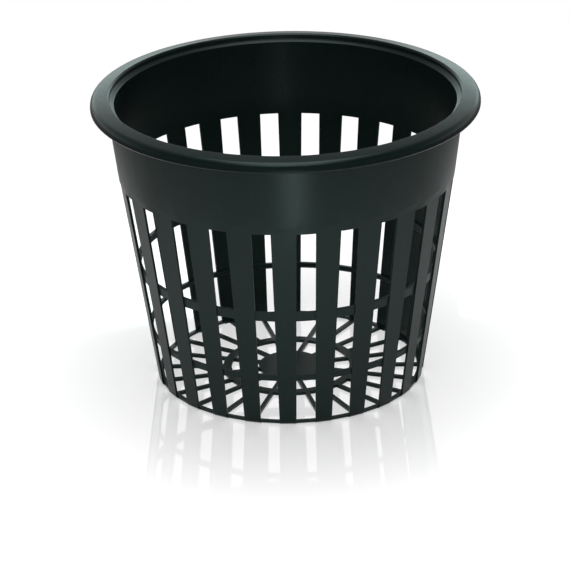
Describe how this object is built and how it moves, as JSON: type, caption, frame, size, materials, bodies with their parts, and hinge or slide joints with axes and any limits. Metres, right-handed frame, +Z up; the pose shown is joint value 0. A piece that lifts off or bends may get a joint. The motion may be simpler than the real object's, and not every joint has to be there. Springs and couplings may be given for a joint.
{
  "type": "hydroponic net pot",
  "caption": "Tapered round basket pot with a flat lip, plain upper band, slotted side wall crossed by rings, and a spoked open base.",
  "frame": {"origin": "middle of the base, on the plane that the pot stands on", "axes": "+Z up along the pot's axis, towards its mouth; one slat is centred on +X and another on -Y"},
  "size_m": [0.095, 0.095, 0.0738],
  "materials": {
    "pot_plastic": "moulded black plastic with a fine satin surface"
  },
  "bodies": {
    "root": {"net_pot": "pot_plastic"}
  },
  "joints": []
}
